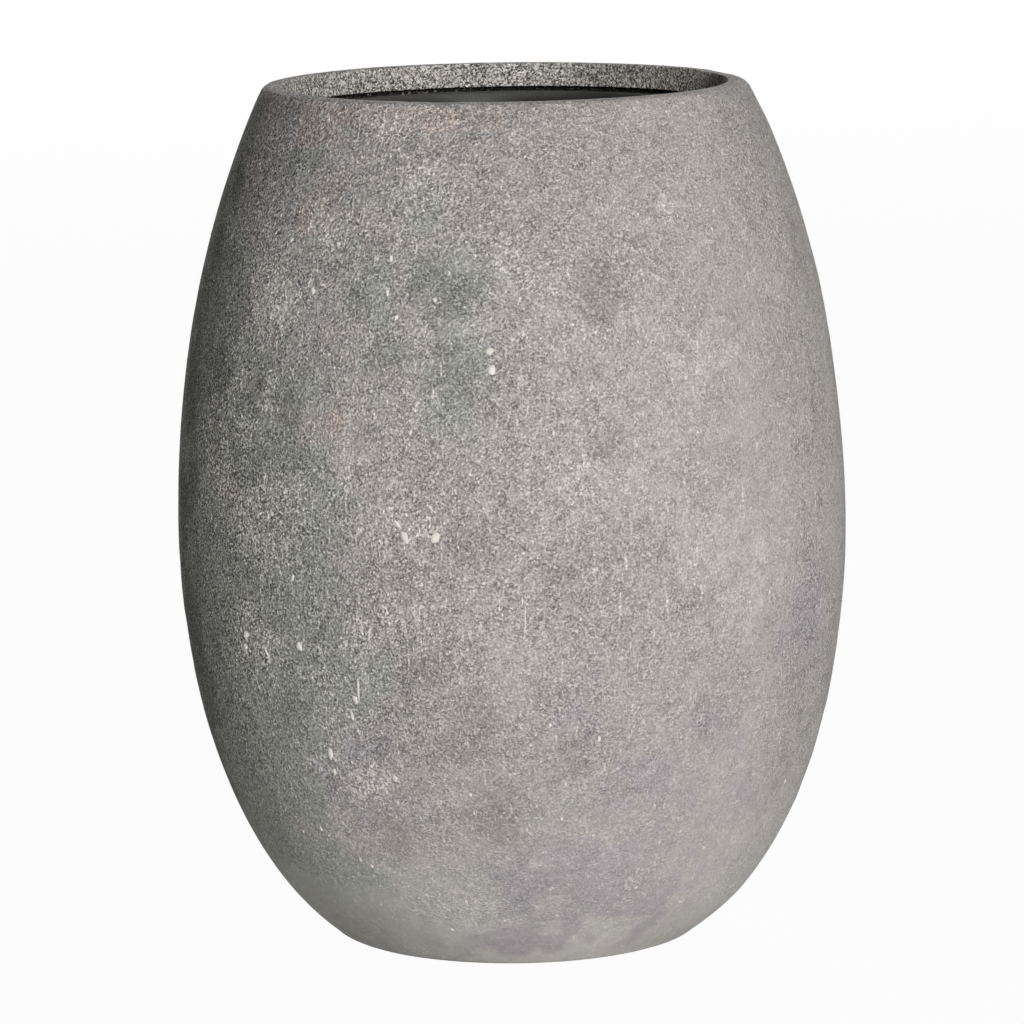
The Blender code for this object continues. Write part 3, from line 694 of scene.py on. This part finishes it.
chips = {
    # azimuth, then height, width, length and rise in millimetres, and turn in degrees
    "placed": [
        (-17.7, 371, 6.5, 8.5, 0.9, -20), (-18.9, 380, 2, 10, 0.6, -32), (-12.6, 371, 7.5, 9.5, 1, 5),
        (-51.8, 279, 5, 8, 0.9, 30), (-52.2, 269, 3.6, 5, 0.8, 10), (-46.5, 268, 2.6, 10, 0.7, -28),
        (-38.6, 277, 7.5, 8.5, 1, 0), (-3.4, 514, 6, 6.5, 0.9, 0), (-3.1, 500, 6, 7, 0.9, 12),
        (-38, 556, 4.2, 7, 0.8, -30), (-22.3, 558, 2.8, 5.6, 0.7, 0), (-13.2, 553, 3.5, 4.2, 0.6, 0),
        (-20.3, 539, 2.8, 4.2, 0.6, 20), (-22.1, 584, 2.8, 5.6, 0.6, -15), (-45.6, 593, 4.2, 4.2, 0.7, 0),
        (-28, 238, 4.2, 7, 0.7, 0), (-34.8, 190, 4.2, 11.2, 0.8, 5), (-27.3, 247, 1.8, 20, 0.5, 2),
        (-34.6, 175, 3.5, 5.6, 0.7, 0), (-22.1, 174, 4.2, 5.6, 0.7, 15), (-49.2, 389, 2.8, 4.2, 0.6, 0),
        (-43.7, 381, 4.2, 3.5, 0.6, 0), (-38, 385, 3.5, 2.8, 0.6, 0), (-44.6, 378, 2.8, 4.2, 0.6, 0),
        (-39.2, 332, 2.8, 5.6, 0.6, 10), (-16.9, 452, 2.8, 4.2, 0.6, 0), (-29, 225, 2.8, 8.4, 0.6, -5),
        (-41.7, 122, 3.5, 4.2, 0.6, 0), (-33.9, 99, 2.8, 4.2, 0.6, 0), (-31.5, 94, 2.8, 2.8, 0.5, 0),
        (-16.5, 39, 2.8, 2.8, 0.4, 0), (-11.5, 67, 2.8, 3.5, 0.5, 0), (-3.3, 49, 2.1, 2.8, 0.4, 0),
        (14.5, 208, 2.8, 4.2, 0.6, 0), (14.2, 125, 2.8, 2.8, 0.5, 0), (8.1, 141, 2.1, 2.8, 0.5, 0),
        (25.7, 74, 2.1, 2.8, 0.5, 0), (6.5, 78, 2.1, 2.8, 0.5, 0), (40.5, 101, 2.8, 2.8, 0.5, 0),
        (40.4, 52, 2.1, 2.8, 0.4, 0), (5.9, 221, 2.1, 3.5, 0.5, 0), (2.5, 205, 2.1, 2.8, 0.5, 0),
        (62.7, 141, 2.8, 4.2, 0.5, 0), (-8.3, 163, 2.8, 3.5, 0.5, 0), (1.9, 305, 1, 24, 0.3, 2),
        (1.5, 322, 1, 8, 0.3, -3),
    ],
    "scattered": 330,
    "seed": 7,
    "columns": 12,
    "rings": ((1.0, -0.3), (0.86, 0.5), (0.5, 0.9)),  # share of the half width, and of the rise
}


# The middle, width, length, rise and turn of every chip: those listed, then small ones
# strewn with a seed, thickest at the upper left and lower left
def chipTable():
    draw = np.random.default_rng(chips["seed"])
    count = chips["scattered"]
    azimuth = np.where(draw.random(count) < 0.55, draw.normal(-28, 20, count), draw.uniform(-180, 180, count))
    height = np.where(draw.random(count) < 0.4, draw.normal(0.56, 0.06, count), draw.uniform(0.05, 0.66, count))
    width = 0.7 + 1.3 * draw.random(count) ** 3
    length = width * draw.uniform(0.8, 2.0, count)
    rise = 0.25 + 0.2 * draw.random(count)
    lean = draw.uniform(-30, 30, count)
    small = np.stack([azimuth, np.clip(height, 0.03, 0.66), width, length, rise, lean], -1)
    return np.vstack([np.array(chips["placed"]) / (1, 1000, 1, 1, 1, 1), small])


# The wall's surface at azimuth and height, raised along its normal: the outer curve less the skin's
# depth, kept inside the belly's radius, plus the swells
def wallPoints(azimuth, height, raised):
    turn = np.radians(azimuth)
    angle = shellAngle(height)
    curve = shellCurve(angle)
    outward = (curve - shellCurve(angle, 0.001)) / 0.001
    bare = np.stack([curve[..., 0] * np.sin(turn), -curve[..., 0] * np.cos(turn), curve[..., 1]], -1)
    section = curve + outward * (raised - skinDepth(bare))[..., None]
    radius = np.minimum(section[..., 0], shell["bellyRadius"] - 0.00005)
    x = radius * np.sin(turn)
    return np.stack([x + swellAt(x, section[..., 1]), -radius * np.cos(turn), section[..., 1]], -1)


# Each chip is a low dome of three rings and two tips: ring point = middle + half size (cos t, sin t)
# times a ragged factor, laid on the wall and raised by the ring's share of the rise
def makeChips():
    table = chipTable()
    azimuth, height, width, length, rise, lean = (column[:, None, None] for column in table.T)
    t = np.linspace(0, 2 * math.pi, chips["columns"], endpoint=False)[None, None, :]
    share, lift = (np.array(values)[None, :, None] for values in zip(*chips["rings"]))
    number = np.arange(len(table))[:, None, None]
    where = np.stack(np.broadcast_arrays(1.6 * np.cos(t), 1.6 * np.sin(t), 5.7 * number), -1)
    ragged = share * (1 + 0.5 * smoothNoise(where, 1.0, 5))
    across, along = 0.0005 * width * ragged * np.cos(t), 0.0005 * length * ragged * np.sin(t)
    leanX, leanY = np.cos(np.radians(lean)), np.sin(np.radians(lean))
    across, along = across * leanX + along * leanY, along * leanX - across * leanY
    radius = shellCurve(shellAngle(height))[..., 0]
    rings = wallPoints(azimuth + np.degrees(across / radius), height + along, 0.001 * rise * lift)
    middle = (table[:, 0], table[:, 1])
    buried = wallPoints(*middle, np.full(len(table), -0.0006))
    crest = wallPoints(*middle, 0.001 * table[:, 4])
    parts = [gridPart(ring, poles=(low, high)) for ring, low, high in zip(rings, buried, crest)]
    return joinedMesh("paleChips", parts, sharpAngle=75)


def makeChipPaint():
    paint = Paint("paleLime", 0.25)
    fine, broad = paint.noise(0.0012, 3), paint.noise(0.02, 2)
    colour = paint.mix(broad.step(0.3, 0.7), screenColour(214, 208, 200), screenColour(234, 229, 223))
    colour = paint.shaded(colour, 0.86 + 0.28 * fine)
    return paint.finish(colour, 0.82 + 0.2 * fine, 0.0003 * fine)


addPiece(makeChips(), makeChipPaint(), "planter", "stone_composite")
print("pale chips made")


ledgeLow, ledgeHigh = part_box("liner_ledge_ring")
ledge = {
    "bottom": ledgeLow[2],
    "top": ledgeHigh[2],
    "inner": 0.1705,
    "gap": 0.0003,  # bond line to the shell
    "edge": 0.0012,
    "columns": 256,
    "black": screenColour(38, 38, 39),
}


# A flat ring with eased corners, whose outer side is the shell's inner curve less the gap
def makeLedge():
    depth = shell["wall"] + ledge["gap"]
    outer = shellCurve(shellAngle(np.linspace(ledge["bottom"], ledge["top"], 4), depth), depth)
    section = np.vstack([[(ledge["inner"], ledge["bottom"])], outer, [(ledge["inner"], ledge["top"])]])
    grid = turnedGrid(eased(section, ledge["edge"]), ledge["columns"])
    return joinedMesh("ledgeRing", [gridPart(grid, closedRows=True)])


def makeLedgePaint():
    paint = Paint("ledgePlastic", 0.4)
    fine, broad = paint.noise(0.0009, 3), paint.noise(0.03, 3, 0.6)
    grit = paint.noise(0.0022, 2, 0.6).step(0.6, 0.72)
    colour = paint.shaded(ledge["black"], 0.7 + 0.6 * broad)
    colour = paint.mix(grit * 0.35, colour, screenColour(120, 116, 110))
    return paint.finish(colour, 0.55 + 0.3 * fine, 0.00015 * fine + 0.0001 * grit)


pads = {
    "radius": 0.014,
    "thickness": 0.005,
    "fromAxis": 0.1152392,
    "grooves": (0.0045, 0.0088),  # radii of the two rings cut in the underside
    "grooveDepth": 0.0007,
    "grooveHalfWidth": 0.0007,
    "edge": 0.0006,
    "columns": 64,
}


# A rubber disc turned round its own axis, its underside a wavy section with two rounded grooves
def makePad(number):
    turn = quarter * (number - 0.5)
    centre = (pads["fromAxis"] * math.cos(turn), pads["fromAxis"] * math.sin(turn))
    edge, thickness, rim = pads["edge"], pads["thickness"], pads["radius"] - pads["edge"]
    flat = np.linspace(0.001, rim, 40)
    groove = sum(np.exp(-(((flat - radius) / pads["grooveHalfWidth"]) ** 2)) for radius in pads["grooves"])
    section = np.vstack([
        np.stack([flat, pads["grooveDepth"] * groove], -1)[:-1],
        arc((rim, edge), edge, -quarter, 0, 5),
        arc((rim, thickness - edge), edge, 0, quarter, 5),
        [(0.004, thickness)],
    ])
    grid = turnedGrid(section, pads["columns"], centre)
    return joinedMesh("footPad%d" % number, [gridPart(grid, poles=[(*centre, 0), (*centre, thickness)])])


# Black rubber with fine dust in its pores, for the pads and the plugs
def makeRubber(name, dust):
    paint = Paint(name, 0.35)
    fine, pores, broad = paint.noise(0.0005, 2), paint.noise(0.0016, 3, 0.6), paint.noise(0.009, 3, 0.6)
    worn = broad.step(0.42, 0.75) * pores.step(0.35, 0.7)
    colour = paint.mix(worn * dust, screenColour(30, 30, 30), screenColour(112, 106, 99))
    colour = paint.shaded(colour, 0.8 + 0.4 * fine)
    return paint.finish(colour, 0.68 + 0.25 * pores, 0.00004 * fine + 0.00009 * pores)


addPiece(makeLedge(), makeLedgePaint(), "planter", "ledge_plastic", "liner_ledge_ring")
padRubber = makeRubber("padRubber", 0.45)
for number in range(1, 5):
    addPiece(makePad(number), padRubber, "planter", "pad_rubber", "foot_pad_%d" % number)
print("ledge ring and pads made")


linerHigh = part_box("liner")[1]
liner = {
    "top": linerHigh[2],
    "depth": 0.3,
    "wall": 0.003,
    "floor": 0.004,
    "floorRadius": 0.14,  # inside, where wall and floor would meet
    "mouthRadius": 0.1655,
    "mouthEdge": 0.0012,
    "flangeRadius": linerHigh[0],
    "flangeEdge": 0.0015,  # half its thickness
    "floorRound": 0.014,
    "drainRadius": 0.01,
    "drainEdge": 0.0004,
    "seatRadius": 0.018,
    "seatDepth": 0.0015,
    "seatEdge": 0.0003,
    "columns": 288,
    "ribs": 24,  # flutes moulded into the floor
    "ribDepth": 0.0005,
    "black": screenColour(22, 26, 23),
}
pivot = {
    "x": 0.1452024,
    "height": liner["top"] - 0.01,
    "bore": 0.003,
    "nose": 0.0055,  # the lug's half circle
    "root": 0.0118,
    "faces": (0.0555, 0.0615),
    "edge": 0.0004,
}


# Inside radius of the tapered wall at a height
def linerRadius(height):
    slope = (liner["mouthRadius"] - liner["floorRadius"]) / liner["depth"]
    return liner["floorRadius"] + (np.asarray(height) - liner["top"] + liner["depth"]) * slope


# The liner's closed section: flange, outside wall, base, drain hole with its seat, floor, inside wall
def linerSection():
    top, wall, bend, mouth = (liner[name] for name in ("top", "wall", "floorRound", "mouthRadius"))
    drain, seatRadius, soft = liner["drainRadius"], liner["seatRadius"], liner["seatEdge"]
    lip, edge, drainEdge = liner["mouthEdge"], liner["flangeEdge"], liner["drainEdge"]
    lean = math.atan2(mouth - liner["floorRadius"], liner["depth"])
    floorTop = top - liner["depth"]
    floorLow, seat, flangeLow = floorTop - liner["floor"], floorTop - liner["seatDepth"], top - 2 * edge
    # the centres of the two rounds between wall and floor
    heights = (floorTop + bend, floorLow + bend + wall)
    inner, outer = ((linerRadius(height) - bend / math.cos(lean), height) for height in heights)
    outerRound = arc(outer, bend + wall, -lean, -quarter, 9)
    innerRound = arc(inner, bend, -quarter, -lean, 9)
    neck = linerRadius(flangeLow) + wall / math.cos(lean) + 0.0006
    return np.vstack([
        arc((mouth + lip, top - lip), lip, math.pi - lean, quarter, 5),
        arc((liner["flangeRadius"] - edge, top - edge), edge, quarter, -quarter, 9),
        spread([(neck, flangeLow), outerRound[0]], 24),
        outerRound,
        spread([(outer[0] - 0.001, floorLow), (drain + drainEdge, floorLow)], 12),
        [(drain + drainEdge, floorLow), (drain, floorLow + drainEdge)],
        [(drain, seat - soft), (drain + soft, seat)],
        [(seatRadius - soft, seat), (seatRadius, seat + soft)],
        [(seatRadius, floorTop - soft), (seatRadius + soft, floorTop)],
        spread([(seatRadius + 0.002, floorTop), (inner[0], floorTop)], 30),
        innerRound,
        spread([innerRound[-1], (mouth, top - lip)], 40)[1:],
    ])


# A flat lug round the pivot's bore. The outline is a half circle joined to a root, which is scaled to
# end in the middle of the liner's wall, at x = sqrt((radius + half wall) squared - y squared); the
# bore's point for each outline point lies in the same direction from the pivot.
def lugGrid(side, end):
    nose, root, edge = pivot["nose"], pivot["root"], pivot["edge"]
    line, rise = np.linspace(0, root, 9)[1:], np.linspace(-nose, nose, 9)[1:]
    outline = np.vstack([
        arc((0, 0), nose, quarter, 3 * quarter, 25),
        np.stack([line, np.full(8, -nose)], -1),
        np.stack([np.full(8, root), rise], -1),
        np.stack([line[:-1][::-1], np.full(7, nose)], -1),
    ])
    bore = pivot["bore"] * outline / np.linalg.norm(outline, axis=1)[:, None]
    low, high = pivot["faces"]
    boreEdge = bore * (1 + edge / pivot["bore"])
    rows = [
        (bore, low + edge, 0), (boreEdge, low, 0), (outline * 0.94, low, 1), (outline, low + edge, 1),
        (outline, high - edge, 1), (outline * 0.94, high, 1), (boreEdge, high, 0), (bore, high - edge, 0),
    ]
    grid = []
    for flat, y, outside in rows:
        height = pivot["height"] + flat[:, 1]
        wall = np.sqrt((linerRadius(height) + liner["wall"] / 2) ** 2 - y**2) - pivot["x"]
        x = flat[:, 0] * np.where((flat[:, 0] > 0) & (outside > 0), wall / root, 1)
        grid.append(np.stack([pivot["x"] + x, np.full(len(flat), y), height], -1))
    return np.array(grid) * (side, end, 1)


# The section turned round, with radial flutes pressed a little way into the floor:
# rib depth times a smooth step of cos(ribs a), between the drain's seat and the floor's round
def makeLinerMesh():
    grid = turnedGrid(linerSection(), liner["columns"])
    radius, turn = np.hypot(grid[..., 0], grid[..., 1]), np.arctan2(grid[..., 1], grid[..., 0])
    floorTop = liner["top"] - liner["depth"]
    onFloor = (np.abs(grid[..., 2] - floorTop) < 1e-5) * smoothStep(radius, 0.03, 0.036)
    onFloor = onFloor * (1 - smoothStep(radius, 0.114, 0.122))
    grid[..., 2] -= liner["ribDepth"] * onFloor * smoothStep(np.cos(liner["ribs"] * turn), 0.35, 0.8)
    parts = [gridPart(grid, closedRows=True)]
    parts += [gridPart(lugGrid(side, end), closedRows=True) for side in (-1, 1) for end in (-1, 1)]
    return joinedMesh("plantingLiner", parts, sharpAngle=35)


# Black moulded plastic: fine spark texture, faint flow marks up the wall, dust low down, and a pale rim,
# lighter on the left, that is a painted highlight drawn as dust
def makeLinerPaint():
    paint = Paint("linerPlastic", 0.27)
    fine, pits, broad = paint.noise(0.0004, 2), paint.noise(0.0014, 2), paint.noise(0.035, 3, 0.6)
    flow = paint.noise(0.006, 3, 0.6, 0.2, paint.stretched((1, 1, 0.12)))
    height = paint.along("Z")
    low = 1 - height.step(liner["top"] - liner["depth"], liner["top"] - 0.19)
    dust = (0.25 + 0.75 * low) * (0.6 * flow + 0.6 * broad).step(0.5, 0.85)
    # the rim is painted pale, more on the left: a painted highlight, given the look of clinging soil dust
    rim = height.step(liner["top"] - 0.009, liner["top"] - 0.0005) * (0.55 + 0.5 * flow)
    rim = rim * (1 - 0.85 * paint.along("X").step(0.03, 0.09))
    # dust from here on holds both the dust and the rim's painted highlight
    dust = dust.maths("MAXIMUM", dust * 0.25, rim * 0.55)
    colour = paint.mix(dust, liner["black"], screenColour(112, 112, 105))
    colour = paint.shaded(colour, 0.8 + 0.4 * pits)
    return paint.finish(colour, 0.33 + 0.14 * fine + 0.3 * dust, 0.00003 * fine + 0.00005 * pits)


addPiece(makeLinerMesh(), makeLinerPaint(), "liner", "liner_plastic", "liner")
print("liner made")


bail = {"wire": 0.0025, "arm": 0.05, "drop": 0.058, "end": 0.064, "pivotBend": 0.005, "gripBend": 0.014}


# The bail's middle line in Y and Z about its pivot, hanging: straight ends, arms and grip joined by
# quarter circles, centre + bend (cos t, sin t)
def bailPath():
    small, large = bail["pivotBend"], bail["gripBend"]
    arm, drop, end = bail["arm"], bail["drop"], bail["end"]
    half = np.vstack([
        [(-end, 0), (-arm - 0.5 * (end - arm) - small / 2, 0)],
        arc((-arm - small, -small), small, quarter, 0, 9),
        spread([(-arm, -small - 0.002), (-arm, -drop + large)], 6),
        arc((-arm + large, -drop + large), large, -2 * quarter, -quarter, 13),
    ])
    return np.vstack([half, [(0, -drop)], half[::-1] * (-1, 1)])


# A round wire: each ring is its path point + radius (cos t normal + sin t X). The ends are rounded,
# with radius times cos p at radius (1 - sin p) in from the end.
def makeBail(name, side):
    path = bailPath()
    along = np.gradient(path, axis=0)
    along /= np.linalg.norm(along, axis=1)[:, None]
    dome = np.radians([75, 55, 35, 15])
    first = path[0] + along[0] * (bail["wire"] * (1 - np.sin(dome)))[:, None]
    radius = bail["wire"] * np.concatenate([np.cos(dome), np.ones(len(path) - 2), np.cos(dome[::-1])])
    poles = [(side * pivot["x"], y, pivot["height"] + z) for y, z in (path[0], path[-1])]
    path = np.vstack([first, path[1:-1], first[::-1] * (-1, 1)])
    along = np.vstack([np.repeat(along[:1], 4, axis=0), along[1:-1], np.repeat(along[-1:], 4, axis=0)])
    normal = np.stack([-along[:, 1], along[:, 0]], -1)
    t = np.linspace(0, 2 * math.pi, 24, endpoint=False)
    y = path[:, :1] + radius[:, None] * normal[:, :1] * np.cos(t)
    z = path[:, 1:] + radius[:, None] * normal[:, 1:] * np.cos(t)
    x = side * pivot["x"] + radius[:, None] * np.sin(t)
    grid = np.dstack([x, y, pivot["height"] + z])
    return joinedMesh(name, [gridPart(grid, poles=poles)])


# Black lacquer on steel wire, rubbed to the metal in small scuffs, more of them along the grip
def makeWirePaint():
    paint = Paint("bailWire", 0.5)
    fine, patch = paint.noise(0.0008, 3), paint.noise(0.0045, 3, 0.65, 0.4)
    low = pivot["height"] - bail["drop"]
    grip = 1 - paint.along("Z").step(low, low + 0.006)
    rubbed = (patch + 0.1 * grip).step(0.6, 0.7)
    colour = paint.mix(rubbed, screenColour(30, 30, 32), screenColour(134, 131, 127))
    colour = paint.shaded(colour, 0.85 + 0.3 * fine)
    material = paint.finish(colour, 0.3 + 0.18 * fine + 0.12 * rubbed, 0.00003 * fine - 0.00004 * rubbed)
    paint.tree.links.new((0.1 + 0.85 * rubbed).socket, paint.shader.inputs["Metallic"])
    return material


bailWire = makeWirePaint()
for name, side in (("left", -1), ("right", 1)):
    piece = makeBail("bail" + name.title(), side)
    addPiece(piece, bailWire, "bail_" + name, "bail_wire", "liner_handle_" + name)
print("bails made")


plugs = {
    # each: floor's top, hole's radius, tip's height
    "liner": {"floorTop": liner["top"] - liner["depth"], "hole": 0.01, "tip": 0.37},
    "base": {"floorTop": shell["floorTop"], "hole": 0.0125, "tip": 0.002},
    "headPast": 0.006,
    "headThickness": 0.003,
    "seatDepth": 0.0015,
    "gap": 0.0003,
    "grip": (0.0045, 0.007),  # radius, height
    "edge": 0.0015,
    "ringDepth": 0.0004,  # sealing rings round the shank
    "ringPitch": 0.0022,
    "columns": 96,
}


# A plug turned about the axis: grip with a thumb groove, domed head, shank with sealing rings
# (radius less depth (1 - |sin(pi height / pitch)|)) and an eased tip
def makePlug(name, plug):
    seat = plug["floorTop"] - plugs["seatDepth"] + plugs["gap"]
    top = seat + plugs["headThickness"]
    grip, rise = plugs["grip"]
    edge, deep, tip = plugs["edge"], plugs["ringDepth"], plug["tip"]
    head, shank = plug["hole"] + plugs["headPast"], plug["hole"] - plugs["gap"]
    waist = np.linspace(0, 1, 7)
    section = np.vstack([
        [(0, top + rise)],
        arc((grip - edge, top + rise - edge), edge, quarter, 0, 6),
        np.stack([grip - 0.0006 * np.sin(math.pi * waist), top + rise - 0.0018 - (rise - 0.003) * waist], -1),
        arc((grip + 0.0009, top + 0.0009), 0.0009, 2 * quarter, 3 * quarter, 5),
        arc((head - edge, top - edge), edge, quarter, 0, 6),
        arc((head - 0.0005, seat + 0.0005), 0.0005, 0, -quarter, 4),
        [(shank + 0.0006, seat), (shank, seat - 0.0005)],
        spread([(shank, seat - 0.0007), (shank, tip + edge)], 10),
        arc((shank - edge, tip + edge), edge, 0, -quarter, 6),
        [(0.002, tip), (0, tip)],
    ])
    shankRows = section[:, 1] < seat - 0.0006
    ring = deep * (1 - np.abs(np.sin((section[:, 1] - tip) * math.pi / plugs["ringPitch"])))
    section[:, 0] -= np.where(shankRows & (section[:, 0] > shank - deep), ring, 0)
    grid = turnedGrid(section[1:-1], plugs["columns"])
    return joinedMesh(name, [gridPart(grid, poles=[(0, 0, section[end, 1]) for end in (0, -1)])], sharpAngle=40)


plugRubber = makeRubber("plugRubber", 0.35)
addPiece(makePlug("linerPlug", plugs["liner"]), plugRubber, "liner_plug", "plug_rubber", "liner_drain_plug")
addPiece(makePlug("basePlug", plugs["base"]), plugRubber, "base_plug", "plug_rubber", "base_drain_plug")
print("drain plugs made")
